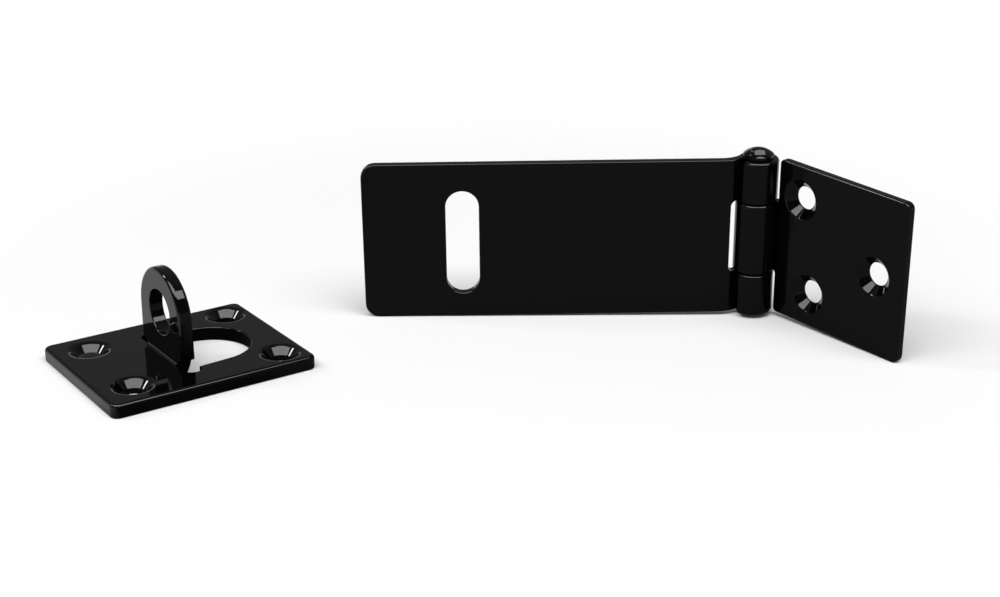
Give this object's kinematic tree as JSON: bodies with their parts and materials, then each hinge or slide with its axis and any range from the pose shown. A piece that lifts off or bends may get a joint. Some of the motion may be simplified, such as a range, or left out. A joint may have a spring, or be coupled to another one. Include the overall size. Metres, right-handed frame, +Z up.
{
  "type": "hinged hasp with staple plate",
  "caption": "Black coated steel hinged hasp with a slotted strap, a screw leaf on a pinned hinge and a loose staple plate with a folded eye.",
  "frame": {"origin": "on the floor, in the middle of the footprint of the hasp and its staple plate together", "axes": "+Z up, -X along the strap from the hinge to its free end, -Y to the side the picture is taken from"},
  "size_m": [0.228, 0.0754, 0.0493],
  "materials": {
    "black_coat": "gloss"
  },
  "bodies": {
    "leaf": {"hinge_leaf": "black_coat", "staple_plate": "black_coat"},
    "strap": {"hasp_strap": "black_coat", "hinge_pin": "black_coat"}
  },
  "joints": [
    {"name": "hinge", "type": "hinge", "parent": "leaf", "child": "strap", "pos_m": [0.07882, 0.03202, 0.0012], "axis": [-0.0104, -0.0509, 0.9987], "range_deg": [-52, 128]}
  ]
}
